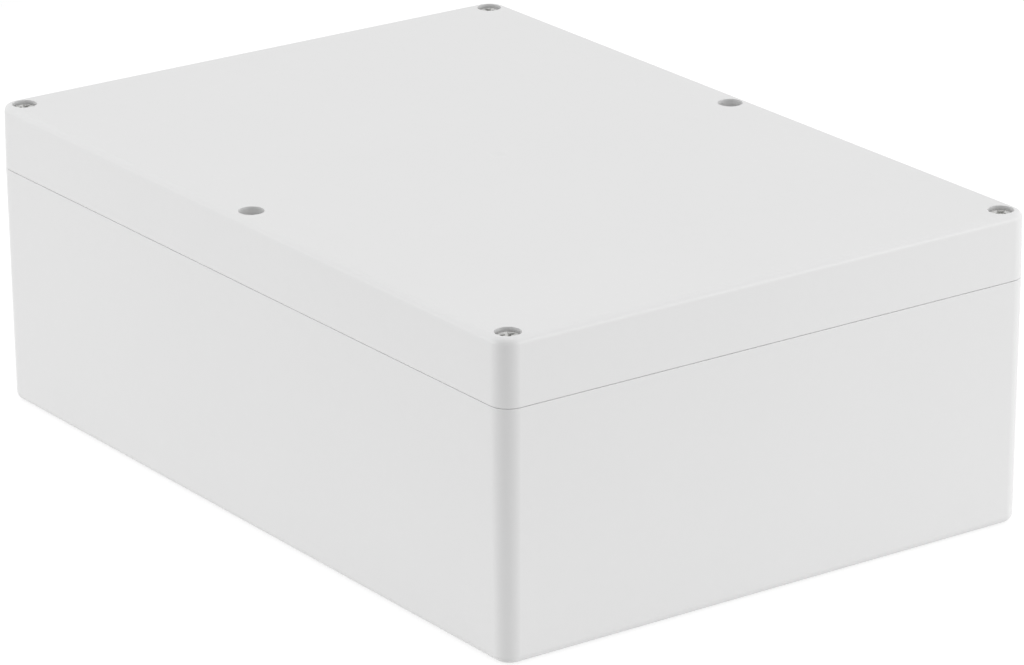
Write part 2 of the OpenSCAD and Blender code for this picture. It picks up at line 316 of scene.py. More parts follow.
class Plan:
    """Outlines of the enclosure from above, from the frame's places and the shell's sizes."""

    def __init__(self, shell):
        half = CAD_BOX[1]
        self.corner_radius = shell.corner_radius
        self.axis = (half.x - shell.corner_radius, half.y - shell.corner_radius)
        self.cavity_x = half.x - shell.wall
        self.screws = [middle(node).xy for node in SCREW_NODES]
        self.screw_y = max(place.y for place in self.screws)
        self.tubes = pattern("wall_mount_holes")
        self.tube_x = max(place.x for place in self.tubes)
        self.bosses = pattern("board_bosses_outer") + pattern("board_bosses_inner")
        self.pillar = shell.pillar_radius
        self.fillet = half.y - self.screw_y - shell.wall

    def outside(self, reach):
        """The box's outside, at a distance from the axes of its upright corners."""
        signs = ((1, 1), (-1, 1), (-1, -1), (1, -1))
        points = []
        for quarter, (sx, sy) in enumerate(signs):
            centre = (sx * self.axis[0], sy * self.axis[1])
            points += arc(centre, reach, 90 * quarter, 90 * quarter + 90, CORNER_STEPS)
        return points

    def cavity(self, grow):
        """The cavity, which keeps clear of the screw pillars; grow moves it towards the walls."""
        corner, pillar = self.fillet + grow, self.pillar - grow
        inner_y = self.screw_y - self.pillar - self.fillet
        bay_from, bay_to = self.pillar + self.fillet, self.tube_x - self.pillar - self.fillet
        quarter = arc((self.cavity_x - self.fillet, inner_y), corner, 0, 90, CAVITY_STEPS)
        quarter += arc((self.tube_x, self.screw_y), pillar, -90, -180, PILLAR_STEPS)
        quarter += arc((bay_to, self.screw_y), corner, 0, 90, CAVITY_STEPS)[1:]
        quarter += arc((bay_from, self.screw_y), corner, 90, 180, CAVITY_STEPS)
        quarter += arc((0, self.screw_y), pillar, 0, -90, PILLAR_STEPS)[1:]
        half = quarter + [(-x, y) for x, y in reversed(quarter)][1:]
        return half + [(x, -y) for x, y in reversed(half)]


def is_within(place, lines):
    """Whether a place is within closed lines, which a ray from there then crosses an odd number of times."""
    start, end = lines[:, 0], lines[:, 1]
    level = (start[:, 1] > place.y) != (end[:, 1] > place.y)
    start, end = start[level], end[level]
    crossing = start[:, 0] + (place.y - start[:, 1]) / (end[:, 1] - start[:, 1]) * (end[:, 0] - start[:, 0])
    return np.count_nonzero(crossing > place.x) % 2 == 1


class Skin:
    """A closed skin, gathered as rings of points that walls, plates and caps join."""

    def __init__(self):
        self.mesh = bmesh.new()
        self.flat = self.mesh.faces.layers.int.new("flat")

    def ring(self, outline, height):
        """Points round an outline, at one height."""
        return [self.mesh.verts.new((x, y, height)) for x, y in outline]

    def wall(self, lower, upper):
        """Faces between two rings."""
        for i in range(len(lower)):
            self.mesh.faces.new((lower[i - 1], lower[i], upper[i], upper[i - 1]))

    def sweep(self, outline, section):
        """Carries a section of (reach, height) round an outline, and gives back its rings."""
        rings = [self.ring(outline(reach), height) for reach, height in section]
        for lower, upper in zip(rings, rings[1:]):
            self.wall(lower, upper)
        return rings

    def bore(self, place, section):
        """Carries a section round an upright axis, and gives back its rings."""
        return self.sweep(lambda radius: circle(place, radius), section)

    def blind(self, place, section):
        """Carries a section round an upright axis to a flat end, and gives back its first ring."""
        rings = self.bore(place, section)
        self.cap(rings[-1])
        return rings[0]

    def plate(self, *rings):
        """A flat face within the first ring, left open at the others."""
        points, edges = [], []
        for ring in rings:
            first = len(points)
            points += ring
            edges += [(first + i, first + (i + 1) % len(ring)) for i in range(len(ring))]
        places = [point.co.xy for point in points]
        lines = np.array([(places[start], places[end]) for start, end in edges])
        _, _, triangles, origins, _, _ = delaunay_2d_cdt(places, edges, [], 0, SAME_POINT)
        for triangle in triangles:
            corners = [points[origins[i][0]] for i in triangle]
            centre = sum((corner.co.xy for corner in corners), Vector((0, 0))) / len(corners)
            if is_within(centre, lines):
                self.cap(corners)

    def cap(self, ring):
        """A flat face, such as the end of a hole."""
        self.mesh.faces.new(ring)[self.flat] = 1

    def corner_normals(self):
        """One normal for each face corner: flat faces hand theirs to the rounded edges beside them."""
        self.mesh.faces.index_update()
        weights = [FLAT_WEIGHT if face[self.flat] else face.calc_area() for face in self.mesh.faces]
        normals = []
        for face in self.mesh.faces:
            for corner in face.loops:
                near = [f for f in corner.vert.link_faces if f.normal.dot(face.normal) > SMOOTH_LIMIT]
                normals.append(sum((f.normal * weights[f.index] for f in near), Vector()).normalized())
        return normals

    def to_piece(self, name, material):
        """Turns the skin into a piece, with its faces outwards; raises an error if it isn't closed."""
        bmesh.ops.recalc_face_normals(self.mesh, faces=self.mesh.faces)
        open_edges = sum(len(edge.link_faces) != 2 for edge in self.mesh.edges)
        if open_edges:
            raise RuntimeError(f"{name} has {open_edges} open edges")
        normals = self.corner_normals()
        data = bpy.data.meshes.new(name)
        self.mesh.to_mesh(data)
        self.mesh.free()
        data.attributes.remove(data.attributes["flat"])
        data.shade_smooth()
        data.normals_split_custom_set(normals)
        data.materials.append(material)
        return add_object(name, data)


def add_object(name, data):
    """Puts data into the scene as an object at the origin."""
    made = bpy.data.objects.new(name, data)
    bpy.context.scene.collection.objects.link(made)
    return made


def gate_dimple(skin, shell, height, inward):
    """The shallow dimple over an injection point at the middle of a plate; gives back its mouth."""
    section = [(shell.gate_radius + LAND, height)]
    for i in range(GATE_STEPS):
        reach = 1 - i / GATE_STEPS
        section.append((shell.gate_radius * reach, height + inward * shell.gate_depth * (1 - reach ** 2)))
    return skin.blind((0, 0), section)


def pin_marks(skin, mountings, height, inward, places):
    """The marks of ejector pins on a plate; gives back their mouths."""
    section = [
        (mountings.pin_radius + mountings.pin_depth, height),
        (mountings.pin_radius, height + inward * mountings.pin_depth),
    ]
    return [skin.blind(place, section) for place in places]


def pin_places(plan):
    """Ejector pins stand in two rows between the bosses, and near both ends of the middle line."""
    rows = [boss * Vector(PIN_ROW) for boss in plan.bosses]
    ends = [Vector((side * plan.axis[0] * PIN_END, 0)) for side in (-1, 1)]
    return rows + ends


class SealSizes:
    """Distances of the tongue and the groove from the cavity's edge, and the seam's heights."""

    def __init__(self, shell, seal):
        self.groove_near = seal.inner_lip
        self.groove_far = seal.inner_lip + seal.groove_width
        self.tongue_near = seal.inner_lip + (seal.groove_width - seal.tongue_width) / 2
        self.tongue_far = self.tongue_near + seal.tongue_width
        self.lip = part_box("lid")[0].z
        self.rim = self.lip - shell.seam_gap
        self.tongue_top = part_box("base")[1].z
        self.groove_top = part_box("gasket")[1].z


class ENCLOSURE_OT_base(bpy.types.Operator):
    """Moulds the base, with its tongue, pillars, mounting tubes and board bosses"""

    bl_idname = "enclosure.make_base"
    bl_label = "Base"

    def execute(self, context):
        shell, seal = context.scene.enclosure_shell, context.scene.enclosure_seal
        fasteners, mountings = context.scene.enclosure_fasteners, context.scene.enclosure_mountings
        plan, at, skin = Plan(shell), SealSizes(shell, seal), Skin()
        outer, edge = plan.corner_radius, shell.hole_edge
        outside = skin.sweep(plan.outside, rounded(
            (outer - shell.base_draft - shell.bottom_edge - LAND, 0),
            (outer - shell.base_draft, 0, shell.bottom_edge),
            (outer, at.rim, shell.seam_edge),
            (outer - shell.seam_edge - LAND, at.rim),
        ))
        cavity = skin.sweep(plan.cavity, rounded(
            (at.tongue_far + edge + LAND, at.rim),
            (at.tongue_far, at.rim, edge),
            (at.tongue_far - seal.tongue_lean, at.tongue_top, seal.tongue_edge),
            (at.tongue_near + seal.tongue_lean, at.tongue_top, seal.tongue_edge),
            (at.tongue_near, at.rim, edge),
            (0, at.rim, edge),
            (0, shell.floor, shell.inside_fillet),
            (-shell.inside_fillet - LAND, shell.floor),
        ))
        inserts = [self.insert_hole(skin, fasteners, edge, at.rim, node) for node in INSERT_NODES]
        tubes = [self.mounting_tube(skin, mountings, edge, at.rim, place) for place in plan.tubes]
        bosses = [self.board_boss(skin, shell, mountings, place) for place in plan.bosses]
        gate = gate_dimple(skin, shell, 0, 1)
        pins = pin_marks(skin, mountings, shell.floor, -1, pin_places(plan))
        skin.plate(outside[0], gate, *[tube[-1] for tube in tubes])
        skin.plate(outside[-1], cavity[0], *inserts, *[tube[0] for tube in tubes])
        skin.plate(cavity[-1], *bosses, *pins)
        piece = skin.to_piece("moulded_base", moulded_plastic(context.scene.enclosure_finish))
        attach(piece, "base")
        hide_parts("base")
        return {"FINISHED"}

    def insert_hole(self, skin, fasteners, edge, rim, node):
        """The stepped hole for a threaded insert and the screw's end; gives back its mouth."""
        low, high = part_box(node)
        radius = (high.x - low.x) / 2 + fasteners.insert_clear
        shank = fasteners.thread_radius + fasteners.clearance
        deepest = min(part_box(screw)[0].z for screw in SCREW_NODES) - fasteners.tip_room
        return skin.blind(middle(node), rounded(
            (radius + edge + LAND, rim),
            (radius, rim, edge),
            (radius, low.z),
            (shank, low.z),
            (shank, deepest),
        ))

    def mounting_tube(self, skin, mountings, edge, rim, place):
        """The tube for a wall-mounting screw, from the rim down through the floor."""
        hole = hole_radius("wall_mount_holes")
        return skin.bore(place, rounded(
            (mountings.tube_radius + edge + LAND, rim),
            (mountings.tube_radius, rim, edge),
            (mountings.tube_radius, mountings.tube_web, edge),
            (hole, mountings.tube_web, edge),
            (hole, 0, edge),
            (hole + edge + LAND, 0),
        ))

    def board_boss(self, skin, shell, mountings, place):
        """A boss for a board's screw, with its pilot hole; gives back its foot."""
        foot, top = mountings.boss_radius + mountings.boss_draft, shell.floor + mountings.boss_height
        hole = hole_radius("board_bosses_outer")
        pilot_end, point = top - mountings.pilot_depth, hole * DRILL_POINT
        return skin.blind(place, rounded(
            (foot + mountings.boss_foot + LAND, shell.floor),
            (foot, shell.floor, mountings.boss_foot),
            (mountings.boss_radius, top, shell.hole_edge),
            (hole, top, shell.hole_edge),
            (hole, pilot_end),
            (point, pilot_end - point),
        ))


class ENCLOSURE_OT_lid(bpy.types.Operator):
    """Moulds the lid, with its counterbored screw holes and gasket groove"""

    bl_idname = "enclosure.make_lid"
    bl_label = "Lid"

    def execute(self, context):
        shell, seal = context.scene.enclosure_shell, context.scene.enclosure_seal
        fasteners, mountings = context.scene.enclosure_fasteners, context.scene.enclosure_mountings
        plan, at, skin = Plan(shell), SealSizes(shell, seal), Skin()
        outer, edge, top = plan.corner_radius, shell.hole_edge, CAD_BOX[1].z
        ceiling = top - shell.lid_top
        outside = skin.sweep(plan.outside, rounded(
            (outer - shell.seam_edge - LAND, at.lip),
            (outer, at.lip, shell.seam_edge),
            (outer - shell.lid_draft, top, shell.top_edge),
            (outer - shell.lid_draft - shell.top_edge - LAND, top),
        ))
        cavity = skin.sweep(plan.cavity, rounded(
            (at.groove_far + edge + LAND, at.lip),
            (at.groove_far, at.lip, edge),
            (at.groove_far, at.groove_top, edge),
            (at.groove_near, at.groove_top, edge),
            (at.groove_near, at.lip, edge),
            (0, at.lip, edge),
            (0, ceiling, shell.inside_fillet),
            (-shell.inside_fillet - LAND, ceiling),
        ))
        holes = [self.screw_hole(skin, fasteners, edge, at.lip, node) for node in SCREW_NODES]
        tubes = [self.tube_room(skin, mountings, edge, at.lip, ceiling, place) for place in plan.tubes]
        gate = gate_dimple(skin, shell, top, -1)
        pins = pin_marks(skin, mountings, ceiling, 1, pin_places(plan))
        skin.plate(outside[-1], gate, *[hole[0] for hole in holes])
        skin.plate(outside[0], cavity[0], *[hole[-1] for hole in holes], *tubes)
        skin.plate(cavity[-1], *pins)
        piece = skin.to_piece("moulded_lid", moulded_plastic(context.scene.enclosure_finish))
        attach(piece, "lid")
        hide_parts("lid")
        return {"FINISHED"}

    def screw_hole(self, skin, fasteners, edge, lip, node):
        """A counterbored hole with the web that keeps its screw captive, from the top to the lip."""
        low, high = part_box(node)
        top = CAD_BOX[1].z
        seat = high.z - fasteners.head_height
        fine_edge = edge / 2
        counterbore = (high.x - low.x) / 2 + fasteners.clearance
        web = fasteners.waist_radius + fasteners.clearance
        shank = fasteners.thread_radius + fasteners.clearance
        return skin.bore(middle(node), rounded(
            (counterbore + fine_edge + LAND, top),
            (counterbore, top, fine_edge),
            (counterbore, seat, fine_edge),
            (web, seat, fine_edge),
            (web, seat - fasteners.captive_web),
            (shank, seat - fasteners.captive_web),
            (shank, lip, edge),
            (shank + edge + LAND, lip),
        ))

    def tube_room(self, skin, mountings, edge, lip, ceiling, place):
        """The blind room over a mounting tube; gives back its mouth."""
        return skin.blind(place, rounded(
            (mountings.tube_radius + edge + LAND, lip),
            (mountings.tube_radius, lip, edge),
            (mountings.tube_radius, ceiling, edge),
            (mountings.tube_radius - edge - LAND, ceiling),
        ))


class Wiring:
    """Short ways to add nodes to a tree and join them."""

    def __init__(self, tree):
        self.tree = tree

    def node(self, kind, settings=None, **inputs):
        """A node with its settings and inputs, whose names have an underscore for each space."""
        made = self.tree.nodes.new(kind)
        for key, value in (settings or {}).items():
            setattr(made, key, value)
        for key, value in inputs.items():
            self.feed(made.inputs[key.replace("_", " ")], value)
        return made

    def feed(self, socket, value):
        """Sets an input to a value, or links it to another node's output."""
        if isinstance(value, bpy.types.NodeSocket):
            self.tree.links.new(value, socket)
        else:
            socket.default_value = value

    def ordered(self, kind, settings, values):
        """A node whose inputs take values in their order; gives back its outputs."""
        made = self.node(kind, settings)
        for socket, value in zip(made.inputs, values):
            self.feed(socket, value)
        return made.outputs

    def math(self, operation, *values):
        """A step of arithmetic on numbers; gives back its result."""
        return self.ordered("ShaderNodeMath", {"operation": operation}, values)["Value"]

    def vector(self, operation, *values):
        """The same on vectors, where a dot product gives a number."""
        outputs = self.ordered("ShaderNodeVectorMath", {"operation": operation}, values)
        return outputs["Value" if operation == "DOT_PRODUCT" else "Vector"]


def new_tree(name, *inputs):
    """A tree of geometry nodes that takes geometry and named inputs, and its wiring."""
    tree = bpy.data.node_groups.new(name, "GeometryNodeTree")
    tree.interface.new_socket("Geometry", in_out="INPUT", socket_type="NodeSocketGeometry")
    for label, kind in inputs:
        tree.interface.new_socket(label, in_out="INPUT", socket_type="NodeSocket" + kind)
    tree.interface.new_socket("Geometry", in_out="OUTPUT", socket_type="NodeSocketGeometry")
    return tree, Wiring(tree)


def end_tree(wire, geometry, material):
    """Ends a tree in real geometry with its material."""
    real = wire.node("GeometryNodeRealizeInstances", Geometry=geometry).outputs["Geometry"]
    dressed = wire.node("GeometryNodeSetMaterial", Geometry=real, Material=material).outputs["Geometry"]
    wire.node("NodeGroupOutput", Geometry=dressed)


def run_tree(host, tree, name, inputs):
    """Runs a tree on a host object, and gives back its result as a plain piece in the host's place."""
    modifier = host.modifiers.new("tree", "NODES")
    modifier.node_group = tree
    for socket in tree.interface.items_tree:
        if socket.in_out == "INPUT" and socket.name in inputs:
            modifier[socket.identifier] = inputs[socket.name]
    bpy.context.view_layer.update()
    depsgraph = bpy.context.evaluated_depsgraph_get()
    data = bpy.data.meshes.new_from_object(host.evaluated_get(depsgraph), depsgraph=depsgraph)
    data.name = name
    host.modifiers.remove(modifier)
    bpy.data.objects.remove(host)
    return add_object(name, data)


def points_object(name, points, closed=False):
    """A mesh of loose points, or of a closed line through them."""
    data = bpy.data.meshes.new(name)
    count = len(points)
    data.from_pydata(points, [(i, (i + 1) % count) for i in range(count)] if closed else [], [])
    return add_object(name, data)


def turned_part_tree():
    """Cuts a thread and a knurl into a turned blank where its points ask for them, and places copies."""
    made = bpy.data.node_groups.get("turned_part")
    if made:
        return made
    tree, wire = new_tree(
        "turned_part", ("Blank", "Object"), ("Pitch", "Float"), ("Thread Depth", "Float"),
        ("Knurl Count", "Float"), ("Knurl Depth", "Float"), ("Turn", "Rotation"), ("Material", "Material"))
    given = wire.node("NodeGroupInput").outputs
    blank = wire.node("GeometryNodeObjectInfo", Object=given["Blank"]).outputs["Geometry"]
    point = wire.node("GeometryNodeInputPosition").outputs["Position"]
    place = wire.node("ShaderNodeSeparateXYZ", Vector=point).outputs
    around = wire.math("ARCTAN2", place["Y"], place["X"])
    turns = wire.math("DIVIDE", around, math.tau)
    climb = wire.math("SUBTRACT", wire.math("DIVIDE", place["Z"], given["Pitch"]), turns)
    half_wave = 0.5
    flank = wire.math("PINGPONG", climb, half_wave)
    thread = wire.node("ShaderNodeMapRange", Value=flank,
                       From_Min=THREAD_FLANK[0], From_Max=THREAD_FLANK[1]).outputs["Result"]
    ridges = wire.math("MULTIPLY", turns, given["Knurl Count"])
    knurl = wire.math("DIVIDE", wire.math("PINGPONG", ridges, half_wave), half_wave)
    cuts = []
    for layer, wave, depth in (
        ("thread_share", thread, given["Thread Depth"]),
        ("knurl_share", knurl, given["Knurl Depth"]),
    ):
        asked = wire.node("GeometryNodeInputNamedAttribute", {"data_type": "FLOAT"}, Name=layer)
        cuts.append(wire.math("MULTIPLY", wire.math("MULTIPLY", wave, depth), asked.outputs["Attribute"]))
    inwards = wire.math("MULTIPLY", wire.math("ADD", *cuts), -1)
    offset = wire.node(
        "ShaderNodeCombineXYZ",
        X=wire.math("MULTIPLY", inwards, wire.math("COSINE", around)),
        Y=wire.math("MULTIPLY", inwards, wire.math("SINE", around))).outputs["Vector"]
    squares = [wire.math("POWER", place[axis], 2) for axis in "XY"]
    from_axis = wire.math("SQRT", wire.math("ADD", *squares))
    marked = wire.node("GeometryNodeStoreNamedAttribute", {"data_type": "FLOAT", "domain": "POINT"},
                       Geometry=blank, Name="from_axis", Value=from_axis).outputs["Geometry"]
    cut = wire.node("GeometryNodeSetPosition", Geometry=marked, Offset=offset).outputs["Geometry"]
    copies = wire.node("GeometryNodeInstanceOnPoints", Points=given["Geometry"], Instance=cut,
                       Rotation=given["Turn"]).outputs["Instances"]
    end_tree(wire, copies, given["Material"])
    return tree


class TurnedSkin(Skin):
    """A skin for a turned part, whose points say how much thread and knurl they take."""

    def __init__(self):
        super().__init__()
        layers = self.mesh.verts.layers.float
        self.shares = {key: layers.new(key) for key in ("thread_share", "knurl_share")}

    def mark(self, key, ring, amount):
        """Sets how much of one cut a ring takes."""
        for point in ring:
            point[self.shares[key]] = amount

    def to_blank(self, name):
        """Turns the skin into an object that a tree cuts and copies."""
        bmesh.ops.recalc_face_normals(self.mesh, faces=self.mesh.faces)
        data = bpy.data.meshes.new(name)
        self.mesh.to_mesh(data)
        self.mesh.free()
        data.shade_smooth()
        data.set_sharp_from_angle(angle=SHARP_ANGLE)
        return add_object(name, data)


def fade(along):
    """How much of a thread is cut at a share of its length, running out over its ends."""
    return min(1, along / THREAD_RUNOUT, (1 - along) / THREAD_RUNOUT)


def cross(fasteners, reach):
    """The outline of a cross recess whose arms reach that far from the axis."""
    arm = fasteners.recess_arm * (1 - fasteners.recess_taper * (1 - reach / fasteners.recess_reach))
    corner = RECESS_CORNER * reach
    spread = math.degrees(math.asin(arm / reach))
    points = []
    for turn in (0, 90, 180, 270):
        points += arc((0, 0), reach, turn - spread, turn + spread, RECESS_STEPS)
        centre = Matrix.Rotation(math.radians(turn), 2) @ Vector((arm + corner, arm + corner))
        points += arc(centre, corner, turn + 270, turn + 180, RECESS_STEPS)
    return points


class ENCLOSURE_OT_screws(bpy.types.Operator):
    """Turns the six captive lid screws, each on its own body"""

    bl_idname = "enclosure.make_screws"
    bl_label = "Lid screws"

    def execute(self, context):
        fasteners = context.scene.enclosure_fasteners
        steel = turned_metal("turned_steel", context.scene.enclosure_finish.steel)
        blank, tree = self.blank(fasteners), turned_part_tree()
        for number, node in enumerate(SCREW_NODES):
            place = middle(node)
            place.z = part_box(node)[1].z - fasteners.head_height
            host = points_object("place", [place])
            piece = run_tree(host, tree, node.replace("lid_screw", "cross_screw"), {
                "Blank": blank, "Pitch": fasteners.pitch, "Thread Depth": fasteners.thread_depth,
                "Turn": (0, 0, number * SCREW_TURN), "Material": steel})
            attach(piece, node)
            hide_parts(node)
        bpy.data.objects.remove(blank)
        return {"FINISHED"}

    def blank(self, fasteners):
        """A screw with its seat at the origin, before its thread is cut."""
        skin = TurnedSkin()
        low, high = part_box(SCREW_NODES[0])
        head, tip = (high.x - low.x) / 2, low.z - high.z + fasteners.head_height
        crest = fasteners.thread_radius - fasteners.thread_clear
        thread_top = tip + fasteners.thread_length
        flat, edge = fasteners.head_height, fasteners.turned_edge
        step = fasteners.pitch / THREAD_ROWS
        rows = round((fasteners.thread_length - fasteners.tip_chamfer) / step)
        thread = [(crest, tip + fasteners.tip_chamfer + i * step) for i in range(rows + 1)]
        body = [(crest - fasteners.tip_chamfer, tip)] + thread
        body += rounded(
            (fasteners.waist_radius, thread_top + fasteners.tip_chamfer),
            (fasteners.waist_radius, 0),
            (head, 0, edge),
            (head - fasteners.head_lean, flat, fasteners.head_edge),
            (fasteners.recess_reach + edge, flat),
        )
        rings = skin.sweep(lambda radius: circle((0, 0), radius, TURNED_SIDES), body)
        skin.cap(rings[0])
        recess = skin.sweep(lambda reach: cross(fasteners, reach), [
            (fasteners.recess_reach + edge / 2, flat),
            (fasteners.recess_reach, flat - edge),
            (fasteners.recess_foot, flat - fasteners.recess_depth),
        ])
        skin.plate(rings[-1], recess[0])
        skin.cap(recess[-1])
        for i, ring in enumerate(rings[1:rows + 2]):
            skin.mark("thread_share", ring, fade(i / rows))
        return skin.to_blank("screw_blank")


class ENCLOSURE_OT_inserts(bpy.types.Operator):
    """Turns the six threaded inserts in the base"""

    bl_idname = "enclosure.make_inserts"
    bl_label = "Threaded inserts"

    def execute(self, context):
        fasteners = context.scene.enclosure_fasteners
        blank, tree = self.blank(fasteners), turned_part_tree()
        places = [Vector((*middle(node).xy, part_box(node)[0].z)) for node in INSERT_NODES]
        piece = run_tree(points_object("places", places), tree, "threaded_inserts", {
            "Blank": blank, "Pitch": fasteners.pitch, "Thread Depth": fasteners.thread_depth,
            "Knurl Count": float(fasteners.knurl_count), "Knurl Depth": fasteners.knurl_depth,
            "Material": turned_metal("turned_brass", context.scene.enclosure_finish.brass)})
        bpy.data.objects.remove(blank)
        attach(piece, "base")
        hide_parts(*INSERT_NODES)
        return {"FINISHED"}

    def blank(self, fasteners):
        """An insert with its lower end at the origin, before its thread and knurl are cut."""
        skin = TurnedSkin()
        low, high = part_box(INSERT_NODES[0])
        radius, height = (high.x - low.x) / 2, high.z - low.z
        bore = fasteners.thread_radius
        band = (height - fasteners.insert_groove_length) / 2
        groove = radius - fasteners.insert_groove
        step = fasteners.pitch / THREAD_ROWS
        edge = fasteners.turned_edge
        rows = int((height - 2 * edge) / step)
        lead = (height - rows * step) / 2
        thread = [(bore, height - lead - i * step) for i in range(rows + 1)]
        plain, knurled = 0, 1
        outer = (
            (radius - fasteners.insert_lead, 0, plain),
            (radius, fasteners.insert_lead, knurled),
            (radius, band, knurled),
            (groove, band, plain),
            (groove, height - band, plain),
            (radius, height - band, knurled),
            (radius, height - edge, knurled),
            (radius - edge, height, plain),
        )
        section = [(reach, level) for reach, level, _ in outer]
        section += [(bore + edge, height)] + thread + [(bore + edge, 0)]
        sides = KNURL_SIDES * fasteners.knurl_count
        rings = skin.sweep(lambda reach: circle((0, 0), reach, sides), section)
        skin.wall(rings[-1], rings[0])
        for ring, (_, _, cut) in zip(rings, outer):
            skin.mark("knurl_share", ring, cut)
        for i, ring in enumerate(rings[len(outer) + 1:-1]):
            skin.mark("thread_share", ring, -fade(i / rows))
        return skin.to_blank("insert_blank")


class ENCLOSURE_OT_gasket(bpy.types.Operator):
    """Lays the gasket in the lid's groove"""

    bl_idname = "enclosure.make_gasket"
    bl_label = "Gasket"

    def execute(self, context):
        shell, seal = context.scene.enclosure_shell, context.scene.enclosure_seal
        low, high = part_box("gasket")
        grow = seal.inner_lip + seal.groove_width / 2
        route = [(x, y, (low.z + high.z) / 2) for x, y in Plan(shell).cavity(grow)]
        piece = run_tree(points_object("route", route, closed=True), self.tree(), "gasket_cord", {
            "Width": seal.groove_width - 2 * seal.gasket_clear, "Height": high.z - low.z,
            "Edge": seal.gasket_edge, "Material": silicone_rubber(context.scene.enclosure_finish)})
        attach(piece, "lid")
        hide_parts("gasket")
        return {"FINISHED"}

    def tree(self):
        """Carries the gasket's rounded section along its closed route."""
        tree, wire = new_tree("gasket_in_groove", ("Width", "Float"), ("Height", "Float"), ("Edge", "Float"),
                              ("Material", "Material"))
        given = wire.node("NodeGroupInput").outputs
        route = wire.node("GeometryNodeMeshToCurve", Mesh=given["Geometry"]).outputs["Curve"]
        level = wire.node("GeometryNodeSetCurveNormal", {"mode": "Z_UP"}, Curve=route).outputs["Curve"]
        block = wire.node("GeometryNodeCurvePrimitiveQuadrilateral",
                          Width=given["Width"], Height=given["Height"]).outputs["Curve"]
        section = wire.node("GeometryNodeFilletCurve", {"mode": "POLY"}, Curve=block,
                            Count=GASKET_STEPS, Radius=given["Edge"]).outputs["Curve"]
        cord = wire.node("GeometryNodeCurveToMesh", Curve=level, Profile_Curve=section).outputs["Mesh"]
        smooth = wire.node("GeometryNodeSetShadeSmooth", Geometry=cord).outputs["Geometry"]
        end_tree(wire, smooth, given["Material"])
        return tree


class Surface(Wiring):
    """A material that is written as nodes round one Principled shader."""

    def __init__(self, name):
        self.material = bpy.data.materials.new(name)
        self.material.use_nodes = True
        super().__init__(self.material.node_tree)
        self.shader = self.tree.nodes["Principled BSDF"].inputs
        self.place = self.node("ShaderNodeTexCoord").outputs["Object"]

    def noise(self, width, detail=2.0):
        """Noise from 0 to 1 with spots of that width."""
        made = self.node("ShaderNodeTexNoise", Vector=self.place, Scale=1 / width, Detail=detail)
        return made.outputs["Fac"]

    def spread(self, value, low, high):
        """Carries noise over to a range."""
        return self.node("ShaderNodeMapRange", Value=value, From_Min=NOISE_RANGE[0], From_Max=NOISE_RANGE[1],
                         To_Min=low, To_Max=high).outputs["Result"]

    def tint(self, value, colour_of, low, high):
        """A colour that varies between two shares of itself."""
        mix = self.node("ShaderNodeMix", {"data_type": "RGBA"}, Factor=value)
        for socket, amount in zip(MIX_COLOURS, (low, high)):
            self.feed(mix.inputs[socket], (*[min(1, part * amount) for part in colour_of], 1))
        return mix.outputs[MIX_RESULT]

    def bump(self, height, distance, strength):
        """Gives the surface a relief of that depth."""
        made = self.node("ShaderNodeBump", Height=height, Distance=distance, Strength=strength)
        self.feed(self.shader["Normal"], made.outputs["Normal"])


def moulded_plastic(finish):
    """Pale grey ABS with the fine texture of a spark-eroded mould, made once for both mouldings."""
    made = bpy.data.materials.get("moulded_plastic")
    if made:
        return made
    made = Surface("moulded_plastic")
    grain = made.noise(finish.plastic_grain, detail=3.0)
    wide, fine = made.noise(width=60 * MM), made.noise(width=3 * MM)
    wide_share = 0.6
    cloud = made.math("MULTIPLY_ADD", wide, wide_share, made.math("MULTIPLY", fine, 1 - wide_share))
    made.feed(made.shader["Base Color"], made.tint(cloud, finish.plastic, low=0.985, high=1.015))
    roughness, swing = finish.plastic_roughness, 0.06
    made.feed(made.shader["Roughness"], made.spread(grain, roughness - swing, roughness + swing))
    made.shader["IOR"].default_value = 1.53
    made.bump(grain, distance=0.03 * MM, strength=0.35)
    return made.material


def turned_metal(name, metal):
    """Bright metal with the fine rings that turning leaves round its axis."""
    made = Surface(name)
    from_axis = made.node("ShaderNodeAttribute", {"attribute_name": "from_axis"}).outputs["Fac"]
    ring_width = 0.09 * MM
    rings = made.node("ShaderNodeTexNoise", {"noise_dimensions": "1D"}, W=from_axis, Scale=1 / ring_width,
                      Detail=3.0).outputs["Fac"]
    spots = made.noise(width=0.8 * MM, detail=3.0)
    made.feed(made.shader["Base Color"], made.tint(spots, metal, low=0.88, high=1.08))
    marks = made.math("MULTIPLY", made.math("ADD", rings, spots), 0.5)
    made.feed(made.shader["Roughness"], made.spread(marks, low=0.24, high=0.4))
    made.shader["Metallic"].default_value = 1.0
    made.bump(rings, distance=0.012 * MM, strength=0.5)
    return made.material


def silicone_rubber(finish):
    """Matt dark silicone with a faint bloom."""
    made = Surface("silicone_rubber")
    bloom = made.noise(width=1.5 * MM, detail=4.0)
    made.feed(made.shader["Base Color"], made.tint(bloom, finish.rubber, low=0.85, high=1.25))
    made.feed(made.shader["Roughness"], made.spread(bloom, low=0.55, high=0.7))
    made.shader["IOR"].default_value = 1.41
    made.bump(made.noise(width=0.25 * MM), distance=0.02 * MM, strength=0.4)
    return made.material


